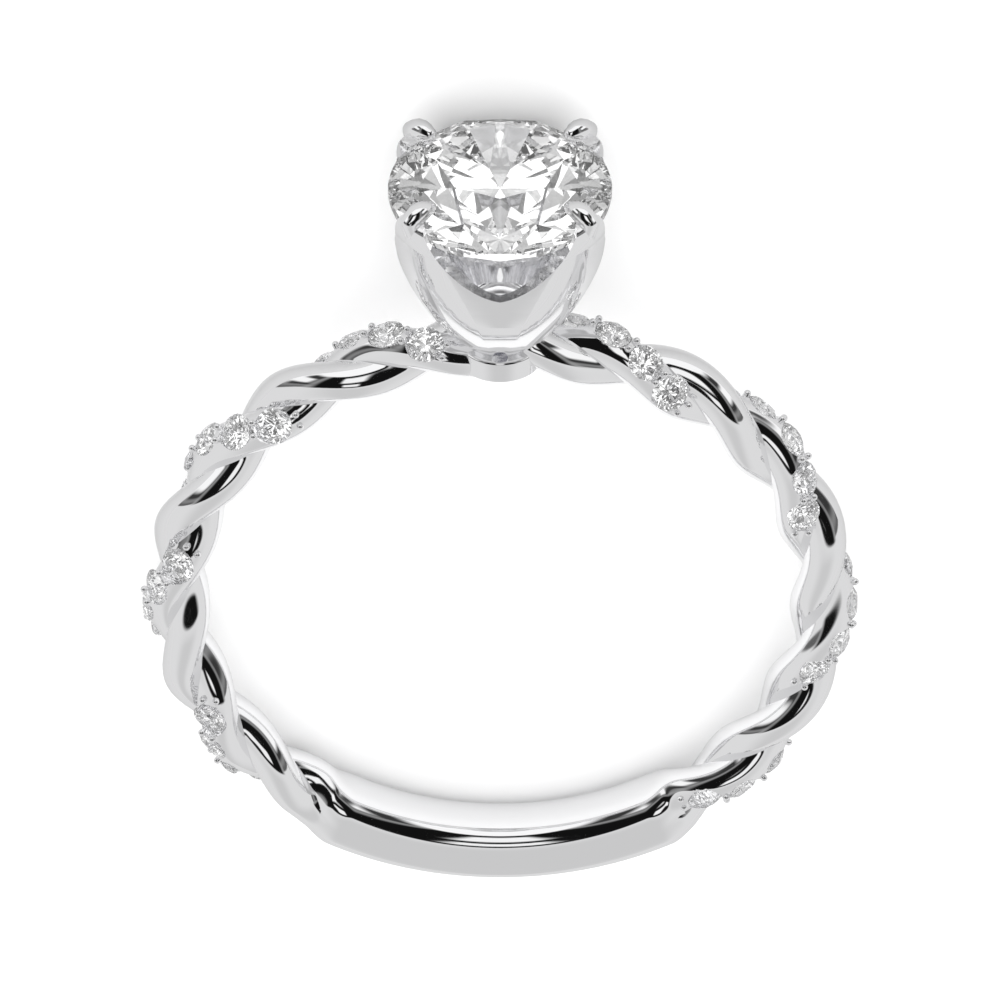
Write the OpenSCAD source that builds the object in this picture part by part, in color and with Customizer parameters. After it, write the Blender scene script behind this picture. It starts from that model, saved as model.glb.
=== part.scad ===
// Twisted shank ring. Two round strands turn about each other on both sides of
// the head and run out into a plain band at the back of the finger. One strand
// is polished, the other is set with small round stones under shared beads. A
// round brilliant sits over the twist in a tulip head with four prongs.
//
// The ring lies on its side, as it does on a table. The origin is the centre of
// the finger hole, +Y runs to the head and +Z to the side that faces up. It is
// drawn flat first, with the hole's axis along Z, and then leans back by the
// small angle at which the stone's edge and the plain band both touch down.

/* [Finger hole] */
// Inner diameter of the ring
finger_d = 17.7; // [16:0.1:20]

/* [Twisted strands] */
// Diameter of each strand
strand_d = 1.27; // [1.2:0.01:1.4]
// Distance between the centres of the two strands
strand_spacing = 0.72; // [0.64:0.01:0.8]
// Turns of the twist on each side of the head
turns_per_side = 4; // [3:1:4]
// Angle round the finger that one turn of the twist takes
turn_angle = 36.5; // [33:0.1:38]
// Depth that the finger hole trims off the strands
inner_trim = 0.02; // [0.01:0.01:0.08]

/* [Plain band] */
// Width of the plain band
band_w = 2.1; // [1.8:0.05:2.4]
// Thickness of the plain band
band_t = 2.1; // [1.9:0.05:2.3]
// Depth of the band's inner side behind the strands' inner side
band_recess = 0.12; // [0.05:0.01:0.2]
// Angle round the finger in which the twist runs out into the band
blend_angle = 9; // [5:1:14]

/* [Small stones] */
// Diameter of each small stone
melee_d = 1.1; // [1:0.01:1.1]
// Small stones on each turn of the set strand
melee_per_turn = 5; // [3:1:5]
// Turn of the strand from one small stone to the next
melee_step = 60; // [60:0.5:62]
// Share of the strand's turn by which a small stone faces sideways
melee_face = 0.5; // [0.3:0.05:0.7]
// Height of the small stones' tables over the strand
melee_proud = 0.06; // [0.02:0.01:0.1]
// Diameter of the beads that hold the small stones
bead_d = 0.22; // [0.18:0.01:0.22]
// Distance between the two beads of a pair
bead_spacing = 0.42; // [0.4:0.01:0.5]
// Gap between a stone and the metal round it
stone_gap = 0.03; // [0.02:0.01:0.05]

/* [Centre stone] */
// Diameter of the centre stone
stone_d = 6.5; // [6.3:0.05:6.7]
// Height of the centre stone's girdle over the centre of the finger hole
girdle_height = 15.5; // [15.3:0.1:15.8]

/* [Head] */
// Half width of the head where it is widest
head_half_w = 3.05; // [2.95:0.01:3.2]
// Half width of the foot of the head
foot_half_w = 0.9; // [0.8:0.05:1.1]
// Height of the foot of the head over the centre of the finger hole
foot_height = 10; // [9.9:0.05:10.2]
// Half width of each flat side panel at its foot
panel_foot = 0.24; // [0.15:0.01:0.4]
// Half width that a side panel gains for each millimetre of height
panel_spread = 0.28; // [0.2:0.01:0.34]
// Thickness of the head's wall
head_wall = 0.35; // [0.3:0.01:0.42]
// Height of the lowest point of the opening in each side
notch_height = 13.6; // [13.3:0.1:13.9]
// Angle of the prongs from the line across the ring
prong_angle = 41; // [39:1:47]
// Diameter of the round prong tips
tip_d = 0.5; // [0.44:0.01:0.56]
// Diameter of the foot of each prong
prong_foot_d = 0.94; // [0.8:0.02:1]
// Diameter of the round boss that the head stands on
boss_d = 2.52; // [2.4:0.02:2.7]
// Height of the lower face of the boss
boss_height = 9.35; // [9.2:0.05:9.5]

/* [Hidden] */
strand_r = strand_d / 2;
strand_a = strand_spacing / 2;
finger_r = finger_d / 2;
stone_r = stone_d / 2;
tip_r = tip_d / 2;
boss_r = boss_d / 2;

// Proportions of a round brilliant, as shares of its diameter
table_share = 0.57;
crown_share = 0.15;
girdle_share = 0.025;
pavilion_share = 0.43;

// Radius of the line that the strands turn about, and of the band's own line
core_r = finger_r - inner_trim + strand_a + strand_r;
band_core_r = finger_r + band_recess + band_t / 2;
twist_end = turns_per_side * turn_angle;

// The centre stone and the band touch the table together at this lean
rest_tilt = atan((stone_r - band_w / 2) / (girdle_height + band_core_r));

// Sides and rings of the swept shank
sides = 16;
rings_per_turn = 12;
band_rings = 12;

// Direction of the set strand about the core line at an angle round the finger.
// It stops turning where the plain band begins
function strand_turn(theta) =
    180 + max(-twist_end, min(twist_end, theta)) * 360 / turn_angle;

// Reach of one strand from the core line in the direction psi, when the centre
// of the strand lies in the direction phi
function reach(psi, phi) =
    let (off = psi - phi, across = strand_a * sin(off))
    strand_a * cos(off) + sqrt(strand_r * strand_r - across * across);

function pair_reach(psi, phi) = max(reach(psi, phi), reach(psi, phi + 180));

// Reach of the band's rounded section from the middle of the band
band_round = 2.3;

function band_reach(psi) =
    let (across = abs(cos(psi)) / (band_t / 2), along = abs(sin(psi)) / (band_w / 2))
    pow(pow(across, band_round) + pow(along, band_round), -1 / band_round);

// Share of the plain band in the section, from 0 in the twist to 1 behind it
function band_share(theta) =
    let (t = max(0, min(1, (abs(theta) - twist_end) / blend_angle + 0.5)))
    t * t * (3 - 2 * t);

function shank_point(theta, psi) =
    let (w = band_share(theta))
    let (rho = (1 - w) * pair_reach(psi, strand_turn(theta)) + w * band_reach(psi))
    let (rad = (1 - w) * core_r + w * band_core_r + rho * cos(psi))
    let (kept = max(rad, finger_r))
    [kept * sin(theta), kept * cos(theta), rho * sin(psi)];

// Angles of the rings, from the start of the twist, over the head and round
twist_rings = 2 * turns_per_side * rings_per_turn;
shank_angles = concat(
    [for (i = [0:twist_rings]) twist_end * (2 * i / twist_rings - 1)],
    [for (i = [1:band_rings - 1]) twist_end + (360 - 2 * twist_end) * i / band_rings]
);

function signed(theta) = theta > 180 ? theta - 360 : theta;

module shank() {
    rings = len(shank_angles);
    points = [
        for (angle = shank_angles, j = [0:sides - 1])
            let (theta = signed(angle))
            shank_point(theta, j * 360 / sides + strand_turn(theta))
    ];
    faces = [
        for (i = [0:rings - 1], j = [0:sides - 1])
            let (next = (i + 1) % rings, side = (j + 1) % sides)
            [i * sides + j, next * sides + j, next * sides + side, i * sides + side]
    ];
    polyhedron(points, faces, convexity = 8);
}

// Where the stars and the lower halves end. Their heights keep the large facets
// beside them flat
star_r_share = 0.415;
star_flat = (0.5 - star_r_share * cos(22.5)) / (0.5 - table_share / 2);
star_h_share = crown_share * star_flat;
half_r_share = 0.12;
half_h_share = pavilion_share * (1 - half_r_share * cos(22.5) / 0.5);

function ring_of(count, r, z, start = 0) =
    [for (i = [0:count - 1]) let (a = start + 360 * i / count) [r * cos(a), r * sin(a), z]];

// The centre stone's full cut: a table, 32 crown facets and 24 below the girdle.
// Both cuts have the middle of their girdle on the plane z = 0
module full_cut(d) {
    top = girdle_share * d / 2;
    points = concat(
        ring_of(8, table_share * d / 2, top + crown_share * d),
        ring_of(8, star_r_share * d, top + star_h_share * d, 22.5),
        ring_of(16, d / 2, top),
        ring_of(16, d / 2, -top),
        ring_of(8, half_r_share * d, -top - half_h_share * d, 22.5),
        [[0, 0, -top - pavilion_share * d]]
    );
    table = [[for (i = [7:-1:0]) i]];
    stars = [for (i = [0:7]) [i, (i + 1) % 8, 8 + i]];
    kites = [for (i = [0:7]) [i, 8 + i, 16 + 2 * i, 8 + (i + 7) % 8]];
    uppers = [for (i = [0:7], s = [0, 1]) [8 + i, 16 + (2 * i + 1 + s) % 16, 16 + 2 * i + s]];
    girdle = [for (i = [0:15]) [16 + i, 16 + (i + 1) % 16, 32 + (i + 1) % 16, 32 + i]];
    lowers = [for (i = [0:7], s = [0, 1]) [48 + i, 32 + 2 * i + s, 32 + (2 * i + 1 + s) % 16]];
    mains = [for (i = [0:7]) [56, 48 + (i + 7) % 8, 32 + 2 * i, 48 + i]];
    polyhedron(points, concat(table, stars, kites, uppers, girdle, lowers, mains));
}

// The small stones' single cut: a table, 8 crown facets and 8 below the girdle
module single_cut(d) {
    top = girdle_share * d / 2;
    points = concat(
        ring_of(8, table_share * d / 2, top + crown_share * d),
        ring_of(8, d / 2, top),
        ring_of(8, d / 2, -top),
        [[0, 0, -top - pavilion_share * d]]
    );
    table = [[for (i = [7:-1:0]) i]];
    belts = [
        for (row = [0, 8], i = [0:7])
            let (next = (i + 1) % 8)
            [row + i, row + next, row + 8 + next, row + 8 + i]
    ];
    pavilion = [for (i = [0:7]) [16 + i, 16 + (i + 1) % 8, 24]];
    polyhedron(points, concat(table, belts, pavilion));
}

// Space that a small stone and the gap round it take out of the strand
module melee_seat() {
    r = melee_d / 2 + stone_gap;
    top = girdle_share * melee_d / 2;
    culet = top + pavilion_share * melee_d + stone_gap;
    rotate_extrude($fn = 8)
        polygon([[0, -culet], [r, -top - stone_gap], [r, strand_r], [0, strand_r]]);
}

// Half width of the head's outline at a height over the centre of the finger hole
bulge = 2.6;

function side_half_w(z) =
    let (t = max(0, min(1, (z - foot_height) / (girdle_height - foot_height))))
    foot_half_w + (head_half_w - foot_half_w) * (1 - pow(1 - t, bulge));

// The small stones of one turn, counted from the outermost point of the strand
function melee_turn(i) = (i - (melee_per_turn - 1) / 2) * melee_step;

// Angle round the finger of a place on the turn k of the strand
function place_angle(k, turn) = (k + 0.5) * turn_angle + turn * turn_angle / 360;

// What would stand in the head or in the boss under it is left out
function clear_of_head(place, r) =
    let (theta = place[0], turn = place[1])
    let (out = core_r + strand_a * cos(turn) + strand_r * cos(melee_face * turn))
    abs(out * sin(theta)) - r > max(boss_r, side_half_w(out * cos(theta)));

turns = [-turns_per_side:turns_per_side - 1];
melee_places = [
    for (k = turns, i = [0:melee_per_turn - 1])
        let (turn = melee_turn(i), place = [place_angle(k, turn), turn])
        if (clear_of_head(place, melee_d / 2)) place
];

// The beads stand half a step from the stones, and a little more at a row's ends
row_end_turn = 9;

function bead_turn(i) =
    melee_turn(i - 0.5) + (i == 0 ? -row_end_turn : i == melee_per_turn ? row_end_turn : 0);

bead_places = [
    for (k = turns, i = [0:melee_per_turn])
        let (turn = bead_turn(i), place = [place_angle(k, turn), turn])
        if (clear_of_head(place, bead_d / 2)) place
];

// Slope of the row of stones against the ring's own direction at a place
function row_slope(turn) =
    let (across = strand_a * cos(turn * (1 - melee_face)) + strand_r * melee_face)
    atan(across * 360 / turn_angle / (core_r + strand_r));

// Puts what is drawn with +Z outward on the set strand, up from its centre
module on_strand(place, up) {
    theta = place[0];
    turn = place[1];
    rotate([0, 0, -theta])
        translate([0, core_r + strand_a * cos(turn), strand_a * sin(turn)])
            rotate([turn * melee_face - 90, 0, 0])
                translate([0, 0, up])
                    children();
}

melee_up = strand_r + melee_proud - (crown_share + girdle_share / 2) * melee_d;
bead_up = strand_r + melee_proud / 2;

// The small stones and their seats are turned alike about their own axes
melee_spin = 10;

module melee_spot(place) {
    on_strand(place, melee_up) rotate([0, 0, melee_spin]) children();
}

module small_stone(place) {
    color("white") leaning() melee_spot(place) single_cut(melee_d);
}

// Two beads, one on each side of the row. Each widens upward past the stones'
// edges and is rounded off over them
bead_sides = 6;
bead_foot_share = 0.5;
bead_top_share = 0.6;
bead_top_h_share = 0.33;

module bead_pair(turn) {
    for (side = [-1, 1])
        rotate([0, 0, -row_slope(turn)])
            translate([0, side * bead_spacing / 2, 0])
                hull() {
                    translate([0, 0, -bead_d])
                        cylinder(h = bead_d, d1 = bead_d * bead_foot_share, d2 = bead_d, $fn = bead_sides);
                    cylinder(h = bead_d * bead_top_h_share, d = bead_d * bead_top_share, $fn = bead_sides);
                }
}

// Radius of the petals at a height, out to the edges of the flat side panels
function petal_r(z) = norm([side_half_w(z), panel_foot + panel_spread * (z - foot_height)]);

head_steps = 8;
cup_top = girdle_height;

function levels(from, to) = [for (i = [0:head_steps]) from + (to - from) * i / head_steps];

module round_cup(radii, heights) {
    rim = [for (i = [0:head_steps]) [radii[i], heights[i]]];
    rotate_extrude($fn = 32)
        polygon(concat([[0, heights[0]]], rim, [[0, heights[head_steps]]]));
}

module side_outline() {
    heights = levels(foot_height, cup_top);
    right = [for (z = heights) [side_half_w(z), z]];
    left = [for (i = [head_steps:-1:0]) [-side_half_w(heights[i]), heights[i]]];
    rotate([90, 0, 0])
        linear_extrude(height = 3 * head_half_w, center = true)
            polygon(concat(right, left));
}

// Opening between two prongs, which rises in a curve from its lowest point
notch_slope = 0.25;
notch_curve = 0.35;
notch_steps = 5;

module notch(half_w) {
    rim = [
        for (i = [-notch_steps:notch_steps])
            let (x = half_w * i / notch_steps)
            [x, notch_height + notch_slope * abs(x) + notch_curve * x * x]
    ];
    top = cup_top + stone_r;
    rotate([90, 0, 0])
        linear_extrude(height = 3 * head_half_w, center = true)
            polygon(concat(rim, [[half_w, top], [-half_w, top]]));
}

// The tips stand outside the stone's girdle, and a claw leans in from each over
// the crown
tip_out_share = 0.6;
tip_ring_r = stone_r + tip_out_share * tip_r;
tip_height = girdle_height + tip_d;
prong_foot_r = stone_r - tip_r;
prong_foot_drop = 1.2;
claw_reach = 0.35;
claw_share = 0.8;
prong_sides = 10;

// Floor of the hollow under the stone, the small arch through the foot, and the
// width by which the prongs' feet stand into the side openings
floor_thickness = 1;
foot_arch_r = 0.24;
prong_overlap = 0.1;

// The centre stone's seat is its own cut, larger by the gap on its slanting facets
seat_d = stone_d + 4 * stone_gap;

module cup() {
    heights = levels(foot_height, cup_top);
    inner = levels(foot_height + floor_thickness, cup_top + head_wall);
    inset = prong_overlap - prong_foot_d / 2;
    notch_half_x = tip_ring_r * cos(prong_angle) + inset;
    notch_half_y = tip_ring_r * sin(prong_angle) + inset;
    difference() {
        intersection() {
            round_cup([for (z = heights) petal_r(z)], heights);
            side_outline();
            rotate([0, 0, 90]) side_outline();
        }
        round_cup([for (z = inner) side_half_w(z) - head_wall], inner);
        notch(notch_half_x);
        rotate([0, 0, 90]) notch(notch_half_y);
        for (side = [0, 90])
            translate([0, 0, foot_height])
                rotate([90, 0, side])
                    cylinder(h = 3 * head_half_w, r = foot_arch_r, center = true, $fn = 10);
    }
}

module prong() {
    hull() {
        translate([prong_foot_r, 0, girdle_height - prong_foot_drop])
            sphere(d = prong_foot_d, $fn = prong_sides);
        translate([tip_ring_r, 0, tip_height]) sphere(d = tip_d, $fn = prong_sides);
    }
    hull() {
        translate([tip_ring_r, 0, tip_height]) sphere(d = tip_d, $fn = prong_sides);
        translate([tip_ring_r - claw_reach, 0, tip_height])
            sphere(d = tip_d * claw_share, $fn = prong_sides);
    }
}

// The boss laps the foot of the head a little
foot_lap = 0.04;

module boss() {
    translate([0, 0, boss_height])
        cylinder(h = foot_height + foot_lap - boss_height, d = boss_d, $fn = 24);
}

module head() {
    difference() {
        union() {
            cup();
            for (end = [0, 180], side = [-1, 1])
                rotate([0, 0, end + side * prong_angle]) prong();
        }
        translate([0, 0, girdle_height]) full_cut(seat_d);
    }
    boss();
}

// Puts what is drawn upright, with +Z to the head, into the flat ring
module upright() {
    rotate([-90, 0, 0]) children();
}

// Leans the flat ring back to where it lies on the table
module leaning() {
    rotate([rest_tilt, 0, 0]) children();
}

module ring_body() {
    color("silver") leaning() {
        difference() {
            shank();
            for (place = melee_places) melee_spot(place) melee_seat();
        }
        for (place = bead_places) on_strand(place, bead_up) bead_pair(place[1]);
        upright() head();
    }
}

module centre_stone() {
    color("white") leaning() upright()
        translate([0, 0, girdle_height]) full_cut(stone_d);
}

melee_count = len(melee_places);

function melee_name(i) = str("small_stone_", i < 9 ? "0" : "", i + 1);

ring_body();
centre_stone();
for (i = [0:melee_count - 1])
    small_stone(melee_places[i]);
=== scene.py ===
# %% [markdown]
# # A twisted shank ring
# The CAD model is the frame of this scene. It gives every piece its place and its size, and Blender
# gives the pieces the fine form and the finish that the eye meets: round strands, scooped seats,
# polished beads, a brilliant cut with all its facets. The first cell loads that frame and keeps its
# box, whose lowest point the floor stands on.

from math import atan, cos, hypot, pi, radians, sin

import bpy
from mathutils import Matrix, Vector


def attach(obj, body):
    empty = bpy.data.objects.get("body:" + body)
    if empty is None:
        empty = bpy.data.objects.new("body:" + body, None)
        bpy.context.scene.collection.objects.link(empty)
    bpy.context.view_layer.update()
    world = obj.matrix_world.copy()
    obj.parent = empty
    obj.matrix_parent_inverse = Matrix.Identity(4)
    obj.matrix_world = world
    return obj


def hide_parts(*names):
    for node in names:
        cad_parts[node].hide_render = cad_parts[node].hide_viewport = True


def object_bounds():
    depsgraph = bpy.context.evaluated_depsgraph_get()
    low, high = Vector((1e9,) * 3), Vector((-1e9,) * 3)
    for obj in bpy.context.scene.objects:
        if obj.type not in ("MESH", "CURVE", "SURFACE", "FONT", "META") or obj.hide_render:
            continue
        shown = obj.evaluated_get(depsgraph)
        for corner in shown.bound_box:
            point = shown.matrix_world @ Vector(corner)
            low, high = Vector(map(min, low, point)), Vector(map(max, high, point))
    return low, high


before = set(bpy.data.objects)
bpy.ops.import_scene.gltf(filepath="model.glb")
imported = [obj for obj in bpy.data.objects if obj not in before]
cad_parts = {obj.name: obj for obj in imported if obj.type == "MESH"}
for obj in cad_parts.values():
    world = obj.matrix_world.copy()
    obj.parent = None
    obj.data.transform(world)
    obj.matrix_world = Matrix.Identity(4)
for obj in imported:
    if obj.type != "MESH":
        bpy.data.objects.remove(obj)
cad_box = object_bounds()
print("solids in the frame:", len(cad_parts))

# %% [markdown]
# A goldsmith writes a ring down as a few sizes: the finger, the wire, the pitch of the twist, the
# stones. The same sizes stand here, in millimetres and degrees, under the names that the CAD source
# uses. Everything below is worked out from them. One is set for the eye alone: band_round, the
# exponent of the band's rounded section, is a little higher than in the CAD, so the band's corner
# is tighter and draws the photograph's thin black line.

# %% Sizes of the ring
finger_r = 17.7 / 2
strand_r = 1.27 / 2
strand_a = 0.72 / 2
turns_per_side = 4
turn_angle = 36.5
inner_trim = 0.02
band_w, band_t, band_recess, blend_angle, band_round = 2.1, 2.1, 0.12, 9, 2.9
melee_d, melee_per_turn, melee_step = 1.1, 5, 60
melee_face, melee_proud, melee_spin = 0.5, 0.06, 10
bead_d, bead_spacing, row_end_turn, stone_gap = 0.22, 0.42, 9, 0.03
stone_d, girdle_height = 6.5, 15.5
head_half_w, foot_half_w, foot_height, bulge = 3.05, 0.9, 10, 2.6
panel_foot, head_wall, notch_height = 0.24, 0.35, 13.6
prong_angle, boss_d, boss_height = 41, 2.52, 9.35
table_share, crown_share, girdle_share, pavilion_share = 0.57, 0.15, 0.025, 0.43

stone_r = stone_d / 2
core_r = finger_r - inner_trim + strand_a + strand_r
band_core_r = finger_r + band_recess + band_t / 2
rest_tilt = atan((stone_r - band_w / 2) / (girdle_height + band_core_r))
print(f"the ring leans back by {rest_tilt * 180 / pi:.2f} degrees")

# %% [markdown]
# It is easiest to draw the shank flat on the bench and the head standing upright. Two matrices
# bring both drawings, in millimetres, into the frame, in metres: the flat ring leans back by the
# small angle at which it rests on its stone and its band, and the upright one is laid down first.

# %% From the bench to the frame
FLAT = Matrix.Rotation(rest_tilt, 4, "X") @ Matrix.Scale(0.001, 4)
UPRIGHT = FLAT @ Matrix.Rotation(-pi / 2, 4, "X")

# %% [markdown]
# The camera comes early, because it decides what is worth modelling. The photograph looks down on
# the upright ring by 40.3 degrees from 211.5 mm away with a long lens, so its lines hardly
# converge. The ring rests on its side here, so the camera goes round with it and keeps its angle to
# the ring. A small shift frames the ring as the photograph does.

# %% Camera
look_down = radians(40.289)
distance = 211.5
camera_data = bpy.data.cameras.new("camera")
camera_data.lens = 249.95
camera_data.sensor_width = 36
camera_data.shift_y = 0.0967
camera_data.clip_start, camera_data.clip_end = 0.01, 10
camera = bpy.data.objects.new("camera", camera_data)
bpy.context.scene.collection.objects.link(camera)
turn = (UPRIGHT @ Matrix.Scale(1000, 4)).to_3x3() @ Matrix(
    ((1, 0, 0), (0, sin(look_down), -cos(look_down)), (0, cos(look_down), sin(look_down)))
)
camera.matrix_world = Matrix.LocRotScale(
    UPRIGHT @ Vector((0, -distance * cos(look_down), distance * sin(look_down))), turn, None
)
bpy.context.scene.camera = camera
print("camera height over the origin, mm:", round(camera.matrix_world.translation.z * 1000, 1))

# %% [markdown]
# Three small helpers serve every step. One adds a node with its settings and its inputs, one makes
# an object from points and faces, and one turns what the modifiers show into a plain mesh.

# %% Helpers
def add(tree, kind, *inputs, **settings):
    """Adds a node. An input is a value, a socket, or a node, whose first output is taken."""
    node = tree.nodes.new(kind)
    for name, value in settings.items():
        setattr(node, name, value)
    for socket, value in zip(node.inputs, inputs):
        if isinstance(value, bpy.types.Node):
            value = value.outputs[0]
        if isinstance(value, bpy.types.NodeSocket):
            tree.links.new(value, socket)
        elif value is not None:
            socket.default_value = value
    return node


def make(name, points, faces):
    mesh = bpy.data.meshes.new(name)
    mesh.from_pydata([tuple(p) for p in points], [], faces)
    made = bpy.data.objects.new(name, mesh)
    bpy.context.scene.collection.objects.link(made)
    return made


def settle(made):
    """Turns what the modifiers of an object show into its own plain mesh."""
    bpy.context.view_layer.update()
    shown = made.evaluated_get(bpy.context.evaluated_depsgraph_get())
    mesh = bpy.data.meshes.new_from_object(shown)
    made.modifiers.clear()
    made.data = mesh
    return made


# %% [markdown]
# The light is a photographer's tent: white nearly all round, so the polished metal is nearly white,
# and a few dark cards, because a mirror of white only would have no form. Where each card stands
# is read off the reflections in the photograph, as degrees round the ring and up towards its head.
# The world shader draws the tent, so no card stands in the way of another view.
#
# Some rays are given a kinder light than the tent's own, as a retoucher would do later. What the
# camera sees straight on, and what lights the floor, is plain white. A reflection of a reflection
# is drawn towards light grey, so strands that mirror each other stay clean. Light that comes
# through a stone is stronger, which is the lamp that a jeweller puts over a diamond. And a ray may
# bounce 24 times, because inside a brilliant it does: with fewer, its facets end in dull grey.

# %% Light tent
def linear(code):
    """sRGB hex to linear RGBA."""
    parts = [int(code[i : i + 2], 16) / 255 for i in (1, 3, 5)]
    return [c / 12.92 if c <= 0.04045 else ((c + 0.055) / 1.055) ** 2.4 for c in parts] + [1]


def grey(level):
    """sRGB grey from 0 to 255 to a linear number."""
    return linear("#" + f"{level:02x}" * 3)[0]


second_level, second_share = 0.66, 0.65
stone_gain, stone_floor = 1.55, 0.12
plain_level, tent_strength = 1.43, 1.05
light_bounces = 24

scene = bpy.context.scene
world = bpy.data.worlds.new("light tent")
scene.world = world
world.use_nodes = True
tent = world.node_tree
tent.nodes.clear()
way = add(tent, "ShaderNodeTexCoord")
way = add(tent, "ShaderNodeMapping", way.outputs["Generated"], None, (pi / 2 - rest_tilt, 0, 0))
way = add(tent, "ShaderNodeSeparateXYZ", way)
to_front = add(tent, "ShaderNodeMath", way.outputs["Y"], -1, operation="MULTIPLY")
azimuth = add(tent, "ShaderNodeMath", way.outputs["X"], to_front, operation="ARCTAN2")
azimuth = add(tent, "ShaderNodeMath", azimuth, operation="ABSOLUTE")
azimuth = add(tent, "ShaderNodeMath", azimuth, 180 / pi, operation="MULTIPLY")
height = add(tent, "ShaderNodeMath", way.outputs["Z"], operation="ARCSINE")
height = add(tent, "ShaderNodeMath", height, 180 / pi, operation="MULTIPLY")

# Each card: degrees round from and to, degrees up from and to, half widths of its soft edges in
# both ways, and its grey. Both sides are alike, and a later card lies over the ones before it
CARDS = {
    "side wall": (46, 100, -20, 13, 10, 11, 95),
    "table top": (-99, 199, -95, 0, 9, 1, 221),
    "table in front": (-99, 30, -95, -10, 22, 10, 203),
    "grey flag": (46, 88, 10, 58, 9, 5, 55),
    "side window": (56, 100, 22, 42, 7, 4, 250),
    "black front": (-99, 46, -3.5, 60, 10, 1.5, 18),
    "tall window": (-99, 12, 25, 50, 3, 4, 248),
    "low window": (-99, 8, 3, 15, 2, 1.5, 243),
}
level = grey(252)
for az_from, az_to, el_from, el_to, soft_az, soft_el, card_grey in CARDS.values():
    mask = 1
    for angle, at, soft in (
        (azimuth, az_from, soft_az),
        (azimuth, az_to, -soft_az),
        (height, el_from, soft_el),
        (height, el_to, -soft_el),
    ):
        edge = add(
            tent, "ShaderNodeMapRange", angle, at - soft, at + soft, 0, 1,
            interpolation_type="SMOOTHSTEP",
        )
        mask = add(tent, "ShaderNodeMath", edge, mask, operation="MULTIPLY")
    level = add(tent, "ShaderNodeMix", mask, None, level, grey(card_grey), data_type="FLOAT")
ray = add(tent, "ShaderNodeLightPath").outputs
second = add(tent, "ShaderNodeMath", ray["Glossy Depth"], 1.5, operation="GREATER_THAN")
second = add(tent, "ShaderNodeMath", second, second_share, operation="MULTIPLY")
plain = add(
    tent, "ShaderNodeMath", ray["Is Camera Ray"], ray["Is Diffuse Ray"], operation="MAXIMUM"
)
in_stone = add(tent, "ShaderNodeMath", level, stone_gain, stone_floor, operation="MULTIPLY_ADD")
for share, other in (
    (second, second_level),
    (ray["Is Transmission Ray"], in_stone),
    (plain, plain_level),
):
    level = add(tent, "ShaderNodeMix", share, None, level, other, data_type="FLOAT")
tent_light = add(tent, "ShaderNodeBackground", level, tent_strength)
add(tent, "ShaderNodeOutputWorld", tent_light)

# Diffuse light finds the tent with its own rays, which meet plain white and none of the cards
world.cycles.sampling_method = "NONE"
scene.view_settings.view_transform = "Standard"
scene.cycles.max_bounces = light_bounces
scene.cycles.glossy_bounces = light_bounces
scene.cycles.transmission_bounces = light_bounces
print("cards in the tent:", len(CARDS))

# %% [markdown]
# The shank is the main piece, and its shape follows a rule, so Geometry Nodes draw it. A flat grid
# is bent round: one side of it runs round the finger and the other round the section. In the twist
# the section is the outline of two touching wires, a figure of eight, which turns as it goes
# round. At the back it eases into a plain rounded band. Because the section is counted from the
# wires and not from the finger, the crease between them always lies on a line of the grid and
# stays crisp.

# %% Shank, the tree
def tree_of(name, sizes):
    """A modifier tree with its named inputs and one geometry output."""
    tree = bpy.data.node_groups.new(name, "GeometryNodeTree")
    for size, kind in sizes.items():
        tree.interface.new_socket(size, in_out="INPUT", socket_type="NodeSocket" + kind)
    tree.interface.new_socket("Geometry", in_out="OUTPUT", socket_type="NodeSocketGeometry")
    return tree, tree.nodes.new("NodeGroupInput").outputs


def modify(made, tree, values):
    """Puts the tree on an object and sets its inputs by their identifiers."""
    modifier = made.modifiers.new(tree.name, "NODES")
    for item in tree.interface.items_tree:
        if item.name in values:
            modifier[item.identifier] = values[item.name]
    modifier.node_group = tree
    return modifier


shank_sizes = {
    "Rings": 768,
    "Sides": 64,
    "Finger Radius": finger_r,
    "Strand Radius": strand_r,
    "Strand Offset": strand_a,
    "Core Radius": core_r,
    "Turn Angle": radians(turn_angle),
    "Turns per Side": float(turns_per_side),
    "Band Width": band_w,
    "Band Thickness": band_t,
    "Band Radius": band_core_r,
    "Band Roundness": band_round,
    "Blend Angle": radians(blend_angle),
}
shank_tree, size = tree_of(
    "Twisted shank",
    {"Geometry": "Geometry"}
    | {name: "Int" if isinstance(v, int) else "Float" for name, v in shank_sizes.items()},
)
rows = add(shank_tree, "ShaderNodeMath", size["Rings"], 1)
columns = add(shank_tree, "ShaderNodeMath", size["Sides"], 1)
grid = add(shank_tree, "GeometryNodeMeshGrid", 2 * pi, 2 * pi, rows, columns)
place = add(shank_tree, "ShaderNodeSeparateXYZ", add(shank_tree, "GeometryNodeInputPosition"))
found = {name: size[name] for name in shank_sizes}
found |= {"round": place.outputs["X"], "side": place.outputs["Y"]}
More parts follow.
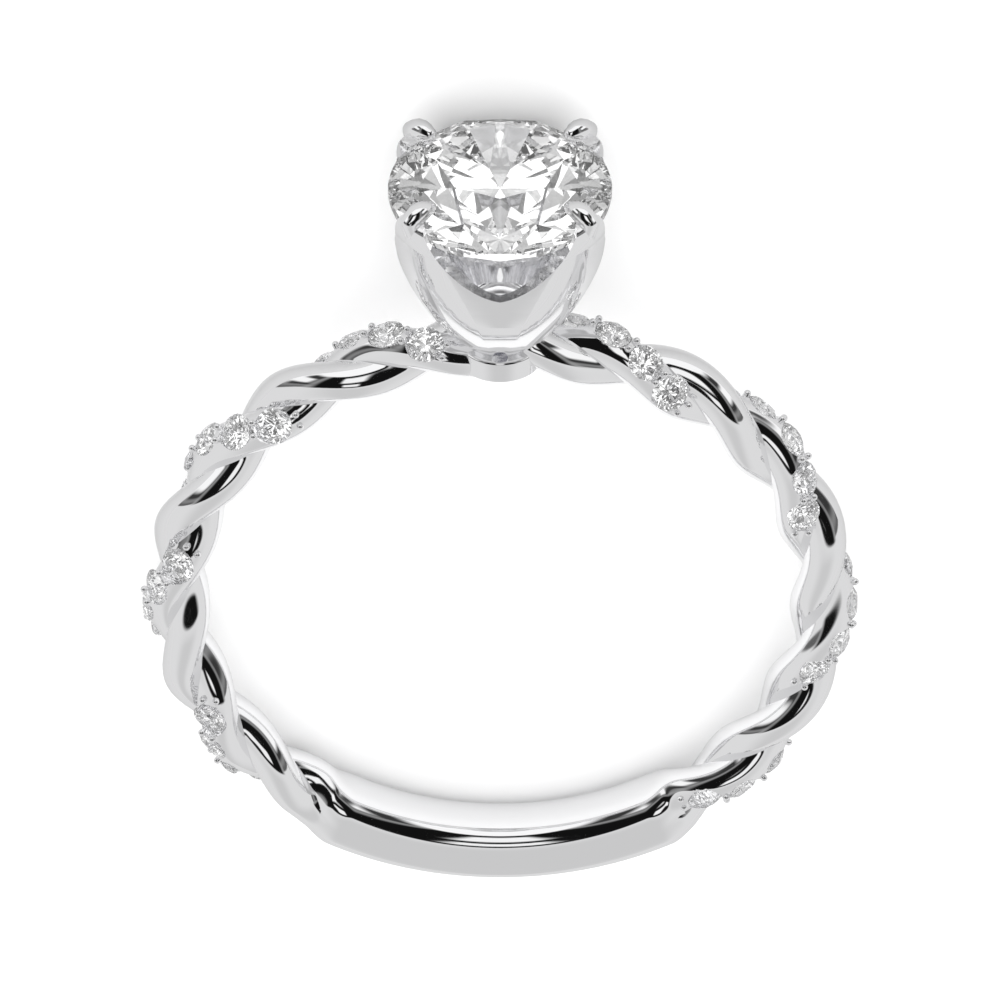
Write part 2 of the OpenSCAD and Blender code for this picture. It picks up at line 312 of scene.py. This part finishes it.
STEPS = [
    ("twist end", "MULTIPLY", "Turns per Side", "Turn Angle"),
    ("twist start", "MULTIPLY", "twist end", -1),
    ("in twist", "MAXIMUM", "round", "twist start"),
    ("in twist", "MINIMUM", "in twist", "twist end"),
    ("turns", "DIVIDE", "in twist", "Turn Angle"),
    ("turned", "MULTIPLY_ADD", "turns", 2 * pi, pi),
    ("way", "ADD", "side", "turned"),
    ("side sine", "SINE", "side"),
    ("across", "MULTIPLY", "side sine", "Strand Offset"),
    ("across squared", "MULTIPLY", "across", "across"),
    ("wire squared", "MULTIPLY", "Strand Radius", "Strand Radius"),
    ("chord squared", "SUBTRACT", "wire squared", "across squared"),
    ("chord", "SQRT", "chord squared"),
    ("side cosine", "COSINE", "side"),
    ("side cosine", "ABSOLUTE", "side cosine"),
    ("pair", "MULTIPLY_ADD", "side cosine", "Strand Offset", "chord"),
    ("outward", "COSINE", "way"),
    ("sideways", "SINE", "way"),
    ("out", "ABSOLUTE", "outward"),
    ("out", "DIVIDE", "out", "Band Thickness"),
    ("out", "POWER", "out", "Band Roundness"),
    ("wide", "ABSOLUTE", "sideways"),
    ("wide", "DIVIDE", "wide", "Band Width"),
    ("wide", "POWER", "wide", "Band Roundness"),
    ("both", "ADD", "out", "wide"),
    ("root", "DIVIDE", -1, "Band Roundness"),
    ("band", "POWER", "both", "root"),
    ("band", "MULTIPLY", "band", 0.5),
    ("past", "ABSOLUTE", "round"),
    ("past", "SUBTRACT", "past", "twist end"),
    ("past", "DIVIDE", "past", "Blend Angle"),
    ("share", "SMOOTH", "past"),
    ("more", "SUBTRACT", "band", "pair"),
    ("reach", "MULTIPLY_ADD", "share", "more", "pair"),
    ("lift", "SUBTRACT", "Band Radius", "Core Radius"),
    ("core", "MULTIPLY_ADD", "share", "lift", "Core Radius"),
    ("radius", "MULTIPLY_ADD", "reach", "outward", "core"),
    ("radius", "MAXIMUM", "radius", "Finger Radius"),
    ("round sine", "SINE", "round"),
    ("round cosine", "COSINE", "round"),
    ("x", "MULTIPLY", "radius", "round sine"),
    ("y", "MULTIPLY", "radius", "round cosine"),
    ("z", "MULTIPLY", "reach", "sideways"),
]
for name, operation, *parts in STEPS:
    parts = [found[p] if isinstance(p, str) else p for p in parts]
    if operation == "SMOOTH":
        found[name] = add(
            shank_tree, "ShaderNodeMapRange", parts[0], -0.5, 0.5, 0, 1,
            interpolation_type="SMOOTHSTEP",
        )
    else:
        found[name] = add(shank_tree, "ShaderNodeMath", *parts, operation=operation)
spot = add(shank_tree, "ShaderNodeCombineXYZ", found["x"], found["y"], found["z"])
bent = add(shank_tree, "GeometryNodeSetPosition", grid, None, spot)
closed = add(shank_tree, "GeometryNodeMergeByDistance", bent, None, 0.0005)
add(shank_tree, "NodeGroupOutput", closed)

shank = make("shank", [], [])
modify(shank, shank_tree, shank_sizes)
settle(shank)
print("shank:", len(shank.data.polygons), "faces")

# %% [markdown]
# Most other pieces are turned, filed and drilled, so more helpers follow: one that puts a skin on
# a row of rings, a lathe that turns a profile with it, and one that joins two solids, cuts one out
# of the other or keeps what they share.

# %% Lathe
def ring_of(count, r, z, start=0.0):
    return [
        (r * cos(start + 2 * pi * i / count), r * sin(start + 2 * pi * i / count), z)
        for i in range(count)
    ]


def skin(name, start, rings, end):
    """A closed solid from a point, through rings with as many points each, to a point."""
    sides = len(rings[0])
    points = [start] + [point for ring in rings for point in ring] + [end]
    last = len(points) - 1
    faces = []
    for j in range(sides):
        k = (j + 1) % sides
        faces += [[0, 1 + k, 1 + j], [last, last - sides + j, last - sides + k]]
        for low in range(1, last - sides, sides):
            faces += [[low + j, low + k, low + sides + k, low + sides + j]]
    return make(name, points, faces)


def lathe(name, profile, sides):
    """Turns a profile, from a point on the axis below to one above, about Z."""
    (_, low), *rim, (_, high) = profile
    return skin(name, (0, 0, low), [ring_of(sides, r, z) for r, z in rim], (0, 0, high))


def combine(made, tool, operation):
    """Joins a solid to another, cuts it out or keeps what they share. The tool is used up."""
    modifier = made.modifiers.new(operation, "BOOLEAN")
    modifier.object = tool
    modifier.operation = operation
    modifier.solver = "MANIFOLD"
    settle(made)
    bpy.data.objects.remove(tool)
    return made


# %% [markdown]
# A round brilliant is cut to one plan in every size: a table, eight stars, eight kites and sixteen
# upper halves above the girdle, eight mains and sixteen lower halves below it. The heights of the
# stars and the lower halves are not free. They follow from the kites and the mains being flat.

# %% Brilliant cut
def brilliant(name, d, sides):
    """A full cut with the middle of its round girdle on z = 0."""
    step = pi / 8
    top = girdle_share * d / 2
    wide, star_r, half_r = 0.5 / cos(step / 2), 0.415, 0.12
    star_h = crown_share * (wide - star_r * cos(step)) / (wide - table_share / 2)
    half_h = pavilion_share * (1 - half_r * cos(step) / wide)
    points = ring_of(8, table_share * d / 2, top + crown_share * d)
    points += ring_of(8, star_r * d, top + star_h * d, step)
    points += ring_of(16, wide * d, top) + ring_of(16, wide * d, -top)
    points += ring_of(8, half_r * d, -top - half_h * d, step)
    points += [(0, 0, -top - pavilion_share * d)]
    faces = [list(range(8))]
    for i in range(8):
        after, before = (i + 1) % 8, (i + 7) % 8
        faces += [[i, 8 + i, after], [i, 8 + before, 16 + 2 * i, 8 + i]]
        faces += [[8 + i, 16 + 2 * i + s, 16 + (2 * i + s + 1) % 16] for s in (0, 1)]
        faces += [[48 + i, 32 + (2 * i + s + 1) % 16, 32 + 2 * i + s] for s in (0, 1)]
        faces += [[56, 48 + i, 32 + 2 * i, 48 + before]]
    faces += [[16 + i, 32 + i, 32 + (i + 1) % 16, 16 + (i + 1) % 16] for i in range(16)]
    cut = make(name, points, faces)
    tall = (crown_share + pavilion_share) * d
    blank = lathe("blank", [(0, -tall), (d / 2, -tall), (d / 2, tall), (0, tall)], sides)
    return combine(cut, blank, "INTERSECT")


centre_stone = brilliant("centre_diamond", stone_d, 96)
centre_stone.data.transform(UPRIGHT @ Matrix.Translation((0, 0, girdle_height)))
print("centre stone:", len(centre_stone.data.polygons), "faces")

# %% [markdown]
# The small stones follow the strand. Each one has a place, an angle round the finger and a turn
# about the strand, and what would stand inside the head or its boss is left out. A place is a point
# with a direction, and a stone, its seat or a pair of beads will stand on it.

# %% Places on the strand
def side_half_w(z):
    t = max(0, min(1, (z - foot_height) / (girdle_height - foot_height)))
    return foot_half_w + (head_half_w - foot_half_w) * (1 - (1 - t) ** bulge)


def clear_of_head(theta, turned, r):
    out = core_r + strand_a * cos(turned) + strand_r * cos(melee_face * turned)
    return abs(out * sin(theta)) - r > max(boss_d / 2, side_half_w(out * cos(theta)))


def strand_places(count, first, r, ends=0.0):
    """(angle round the finger, turn) of every place in the rows, in radians."""
    kept = []
    for row in range(-turns_per_side, turns_per_side):
        for i in range(count):
            turned = radians((first + i) * melee_step + ends * ((i == count - 1) - (i == 0)))
            theta = radians(turn_angle) * (row + 0.5 + turned / (2 * pi))
            if clear_of_head(theta, turned, r):
                kept.append((theta, turned))
    return kept


def on_strand(theta, turned, up):
    """Matrix that puts what is drawn with +Z outward on the set strand of the flat ring."""
    return (
        Matrix.Rotation(-theta, 4, "Z")
        @ Matrix.Translation((0, core_r + strand_a * cos(turned), strand_a * sin(turned)))
        @ Matrix.Rotation(turned * melee_face - pi / 2, 4, "X")
        @ Matrix.Translation((0, 0, up))
    )


melee_places = strand_places(melee_per_turn, (1 - melee_per_turn) / 2, melee_d / 2)
bead_places = strand_places(melee_per_turn + 1, -melee_per_turn / 2, bead_d / 2, row_end_turn)
print("small stones:", len(melee_places), "pairs of beads:", len(bead_places))

# %% [markdown]
# What repeats is drawn once. The next tree puts a copy of one piece on every point of a mesh, faces
# it the way that the point's own attribute says, turns the copies into real faces and gives them
# their material. The piece, its material and the points are its inputs, so it serves all the rows.

# %% Row of pieces, the tree
row_tree, row_input = tree_of(
    "Row of pieces", {"Geometry": "Geometry", "Piece": "Object", "Material": "Material"}
)
piece = add(row_tree, "GeometryNodeObjectInfo", row_input["Piece"])
facing = add(row_tree, "GeometryNodeInputNamedAttribute", "facing", data_type="FLOAT_VECTOR")
facing = add(row_tree, "FunctionNodeEulerToRotation", facing)
copies = add(
    row_tree, "GeometryNodeInstanceOnPoints", row_input["Geometry"], None,
    piece.outputs["Geometry"], None, None, facing,
)
real = add(row_tree, "GeometryNodeRealizeInstances", copies)
coated = add(row_tree, "GeometryNodeSetMaterial", real, None, row_input["Material"])
add(row_tree, "NodeGroupOutput", coated)


def row_of(name, piece, spots, material=None):
    """Copies of one piece on every spot, as one plain mesh. The piece itself is used up."""
    made = make(name, [spot.translation for spot in spots], [])
    turned = made.data.attributes.new("facing", "FLOAT_VECTOR", "POINT")
    for i, spot in enumerate(spots):
        turned.data[i].vector = spot.to_euler()
    modify(made, row_tree, {"Piece": piece, "Material": material})
    settle(made)
    bpy.data.objects.remove(piece)
    return made


# %% [markdown]
# White gold for rings is an alloy of 14 carat with a thin plating of rhodium, polished on a felt
# wheel: almost a mirror, very slightly warm in its shade and cool in its light. A buffed surface
# isn't perfect. Very fine, soft waves from the wheel make its roughness drift a little, so a
# reflection is crisp in one place and a touch softer in the next. Diamond bends light more than any
# other clear stone used in rings, by 2.418, and that alone gives it its hard bright and dark
# facets.

# %% White gold and diamond
def material_of(name):
    material = bpy.data.materials.new(name)
    material.use_nodes = True
    return material, material.node_tree, material.node_tree.nodes["Principled BSDF"]


# Waves of a felt wheel are about a millimetre long. The roughness drifts between these two
waves_per_mm, crisp, soft = 0.9, 0.02, 0.07
white_gold, gold_tree, gold = material_of("polished white gold")
gold.inputs["Base Color"].default_value = linear("#f6f6f7")
gold.inputs["Metallic"].default_value = 1
where = add(gold_tree, "ShaderNodeTexCoord")
buffing = add(
    gold_tree, "ShaderNodeTexNoise", where.outputs["Object"], None, waves_per_mm * 1000, 3
)
wear = add(gold_tree, "ShaderNodeMapRange", buffing, 0.3, 0.7, crisp, soft)
gold_tree.links.new(wear.outputs[0], gold.inputs["Roughness"])

diamond, diamond_tree, gem = material_of("cut diamond")
gem.inputs["Base Color"].default_value = linear("#ffffff")
gem.inputs["IOR"].default_value = 2.418
gem.inputs["Roughness"].default_value = 0
gem.inputs["Transmission Weight"].default_value = 1

# %% [markdown]
# The setter drills a seat for every small stone and raises beads out of the metal to hold it. The
# seat is drawn as the tool that cuts it, wider at the top, so a dark scooped edge shows at each
# side of a stone. It is taken out of the strand with a solid difference, as the burr would do.

# %% Seats, small stones and beads
girdle_top = girdle_share * melee_d / 2
melee_up = strand_r + melee_proud - crown_share * melee_d - girdle_top
seat_r = melee_d / 2 + stone_gap
seat_low = girdle_top + pavilion_share * melee_d + stone_gap
seat_edge, seat_top, seat_flare = 0.06, 0.6, 0.05
burr_profile = [
    (0, -seat_low),
    (seat_r, -girdle_top - stone_gap),
    (seat_r, seat_edge),
    (seat_r + seat_flare, seat_top),
    (0, seat_top),
]
burr = lathe("burr", burr_profile, 24)
spin = Matrix.Rotation(radians(melee_spin), 4, "Z")
melee_spots = [on_strand(theta, turned, melee_up) @ spin for theta, turned in melee_places]
combine(shank, row_of("seats", burr, melee_spots), "DIFFERENCE")

small_stones = row_of("small_stones", brilliant("cut", melee_d, 32), melee_spots, diamond)
small_stones.data.transform(FLAT)
print("shank with its seats:", len(shank.data.polygons), "faces")

# %% [markdown]
# A bead is a curl of the shank's own metal that the setter pushes up with a graver and rounds off
# with a beading tool, a steel punch with a cup in its tip. A dome on a short stem has that form.

# %% Beads
bead_r = bead_d / 2
rise = [radians(a) for a in (-20, 0, 20, 40, 60, 75)]
dome = [(bead_r * cos(a), bead_r * sin(a)) for a in rise]
bead = lathe("bead", [(0, -bead_d), (bead_r / 2, -bead_d)] + dome + [(0, bead_r)], 12)
bead_spots = []
for theta, turned in bead_places:
    across = strand_a * cos(turned * (1 - melee_face)) + strand_r * melee_face
    slope = atan(across * 2 * pi / radians(turn_angle) / (core_r + strand_r))
    for side in (-1, 1):
        bead_spots.append(
            on_strand(theta, turned, strand_r + melee_proud / 2)
            @ Matrix.Rotation(-slope, 4, "Z")
            @ Matrix.Translation((0, side * bead_spacing / 2, 0))
        )
beads = row_of("beads", bead, bead_spots, white_gold)
print("beads:", len(bead_spots))

# %% [markdown]
# The head is a tulip cup. It is turned on the lathe, its four sides are filed to side panels that
# narrow towards the foot, the hollow is turned out, and an opening is filed into each side. What is
# left between the openings are four petals, whose tops bend in towards the stone, and each of them
# ends in a prong. The same steps are taken here, with solids: turn, keep what two outlines share,
# and take away.

# %% Tulip cup
petal_spread, petal_flare = 0.06, 0.045
cup_sides, cup_steps = 128, 40
cup_top = girdle_height - 0.2
floor_height = foot_height + 1
prong_out, prong_r, overlap = stone_r + 0.15, 0.47, 0.1
opening_slope, opening_flare, above = 0.25, 0.35, 3
arch_r, arch_sides = 0.24, 24

# The crest of the cup, as what it has bent in by and how far up over the cup's top
crest = [(0, 0.2), (0.02, 0.38), (0.06, 0.52), (0.13, 0.64), (0.22, 0.71), (0.34, 0.75)]
bent_in, crest_up = crest[-1]
top = cup_top + crest_up


def petal_r(z):
    """Radius of the cup, where the side panels meet the petals."""
    up = z - foot_height
    return hypot(side_half_w(z), panel_foot + petal_spread * up + petal_flare * up * up)


def levels(low, high, steps):
    return [low + (high - low) * i / steps for i in range(steps + 1)]


def tulip(half_w, low, high, wall=0.0):
    """Half an outline, whose half width is a rule of the height."""
    return [(half_w(z) - wall, z) for z in levels(low, high, cup_steps)]


def crested(half_w, widest):
    """Half an outline of the cup from its foot, with the crest over its widest place."""
    over = [(widest - less, cup_top + up) for less, up in crest]
    return tulip(half_w, foot_height, cup_top) + over


def slab(name, outline, turned):
    """Stretches an outline, drawn in x and z, right through the head along y."""
    count, deep = len(outline), 2 * head_half_w
    points = [(x, y, z) for y in (-deep, deep) for x, z in outline]
    faces = [list(range(count)), list(range(2 * count - 1, count - 1, -1))]
    faces += [[(i + 1) % count, i, count + i, count + (i + 1) % count] for i in range(count)]
    made = make(name, points, faces)
    made.data.transform(Matrix.Rotation(turned, 4, "Z"))
    return made


profile = crested(petal_r, petal_r(cup_top))
head = lathe("head", [(0, foot_height)] + profile + [(0, top)], cup_sides)
for turned in (0, pi / 2):
    rim = crested(side_half_w, head_half_w) + [(head_half_w - bent_in, top + 0.1)]
    combine(head, slab("side", rim + [(-x, z) for x, z in reversed(rim)], turned), "INTERSECT")

inner = tulip(side_half_w, floor_height, girdle_height, head_wall)
hollow = lathe("hollow", [(0, floor_height)] + inner + [(0, girdle_height)], cup_sides)
combine(head, hollow, "DIFFERENCE")
lean = radians(prong_angle)
for turned, share in ((0, cos(lean)), (pi / 2, sin(lean))):
    half = prong_out * share + overlap - prong_r
    rim = [
        (x, notch_height + opening_slope * abs(x) + opening_flare * x * x)
        for x in levels(-half, half, 32)
    ]
    outline = [(half, top + above), (-half, top + above)] + rim
    combine(head, slab("opening", outline, turned), "DIFFERENCE")
    arch = [(x, foot_height + y) for x, y, _ in ring_of(arch_sides, arch_r, 0)]
    combine(head, slab("arch", arch, turned), "DIFFERENCE")
print("cup:", len(head.data.polygons), "faces")

# %% [markdown]
# A prong grows out of its petal and stands close by the stone's edge. Its tip is burnished to a
# ball, and a claw bends from there in over the crown. It is drawn as a run of round sections along
# a bent line, which gives the smooth neck that a plain cone would not have. The bed that the stone
# sits in is cut last, with a slightly larger stone as the tool, so it fits everywhere.

# %% Prongs and boss
def bar(name, line, sides=32):
    """A round bar through sections given as (out, up, radius), with rounded ends."""
    last = len(line) - 1
    spots = [Vector((out, 0, up)) for out, up, _ in line]
    ways = [
        (spots[min(i + 1, last)] - spots[max(i - 1, 0)]).normalized() for i in range(last + 1)
    ]
    cap = [radians(a) for a in (-75, -50, -25)]
    run = [(0, a) for a in cap] + [(i, 0) for i in range(last + 1)]
    run += [(last, -a) for a in reversed(cap)]
    rings = []
    for i, slope in run:
        r = line[i][2] * cos(slope)
        centre = spots[i] + ways[i] * line[i][2] * sin(slope)
        spread = Vector((ways[i].z, 0, -ways[i].x))
        angles = [2 * pi * j / sides for j in range(sides)]
        rings += [[centre + spread * r * cos(a) + Vector((0, r * sin(a), 0)) for a in angles]]
    start = spots[0] - ways[0] * line[0][2]
    return skin(name, start, rings, spots[-1] + ways[-1] * line[-1][2])


# Sections of the prong's stem and of its claw, as out, up and radius. They share the round tip
tip = (stone_r + 0.17, girdle_height + 0.48, 0.27)
prong_line = [
    (2.72, 13.0, 0.2),
    (2.86, 13.6, 0.24),
    (2.98, 14.2, 0.26),
    (3.1, 14.8, 0.27),
    (3.22, 15.3, 0.27),
    (3.32, 15.65, 0.27),
    tip,
]
claw_line = [
    tip,
    (3.3, 16.07, 0.29),
    (3.16, 16.14, 0.31),
    (3.0, 16.18, 0.3),
    (2.86, 16.18, 0.27),
    (2.74, 16.16, 0.22),
]
for end in (0, pi):
    for side in (-1, 1):
        for line in (prong_line, claw_line):
            prong = bar("prong", line)
            prong.data.transform(Matrix.Rotation(end + side * lean, 4, "Z"))
            combine(head, prong, "UNION")
bed = brilliant("bed", stone_d + 3 * stone_gap, 96)
bed.data.transform(Matrix.Translation((0, 0, girdle_height)))
combine(head, bed, "DIFFERENCE")

boss_r, edge, boss_top = boss_d / 2, 0.09, foot_height + 0.04
corner = [
    (boss_r - edge + edge * cos(a), boss_top - edge + edge * sin(a))
    for a in levels(0, pi / 2, 6)
]
boss = lathe("boss", [(0, boss_height), (boss_r, boss_height)] + corner + [(0, boss_top)], 96)
combine(head, boss, "UNION")
head.data.transform(Matrix.Rotation(-pi / 2, 4, "X"))
print("head:", len(head.data.polygons), "faces")

# %% [markdown]
# Soldered metal is one solid, so the head and the beads are joined to the shank. Then the shading
# is set: smooth where the surface runs on, and sharp along the true edges, such as the crease
# between the strands and the rims of the seats. At the end each mesh takes the place of its solids
# in the frame.

# %% One piece of metal
combine(shank, head, "UNION")
combine(shank, beads, "UNION")
ring_body = shank
ring_body.name = "ring_metal"
ring_body.data.transform(FLAT)
ring_body.data.materials.clear()
ring_body.data.materials.append(white_gold)
centre_stone.data.materials.clear()
centre_stone.data.materials.append(diamond)
ring_body.data.shade_smooth()
ring_body.data.set_sharp_from_angle(angle=radians(32))
ring_body.data.calc_loop_triangles()
print("metal:", len(ring_body.data.loop_triangles), "triangles")

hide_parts("ring_body")
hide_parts("centre_stone")
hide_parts(*[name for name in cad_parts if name.startswith("small_stone_")])
for made in (ring_body, centre_stone, small_stones):
    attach(made, "root")

# %% [markdown]
# The floor is a sweep of white paper, which carries the ring's soft shadow and fills the
# photograph's white ground. In the metal it shows a painted pool of light under the ring, as a
# table in a tent
# has: in reflections alone its colour is light grey there and greyer beyond it. That painted grey
# gives the petals of the head their even tone.

# %% Floor
low = cad_box[0][2]
sweep = 1.5
corners = [(-sweep, -sweep, low), (sweep, -sweep, low), (sweep, sweep, low), (-sweep, sweep, low)]
floor = make("floor", corners, [[0, 1, 2, 3]])
card, card_tree, paper = material_of("white paper sweep")
pool_r, dim_r = 0.0095, 0.0125
spot = add(card_tree, "ShaderNodeTexCoord").outputs["Object"]
away = add(card_tree, "ShaderNodeVectorMath", spot, operation="LENGTH").outputs["Value"]
# Painted pool of light: the floor's colour is lighter grey under the ring and darker grey beyond it
painted_light_pool = add(card_tree, "ShaderNodeMapRange", away, pool_r, dim_r, grey(224), grey(188))
mirrored = add(card_tree, "ShaderNodeLightPath").outputs["Is Glossy Ray"]
# Camera and diffuse rays see plain white paper; only reflections show the painted pool and its grey
shade = add(card_tree, "ShaderNodeMapRange", mirrored, 0, 1, grey(250), painted_light_pool)
card_tree.links.new(shade.outputs[0], paper.inputs["Base Color"])
paper.inputs["Roughness"].default_value = 0.9
paper.inputs["Specular IOR Level"].default_value = 0
floor.data.materials.append(card)
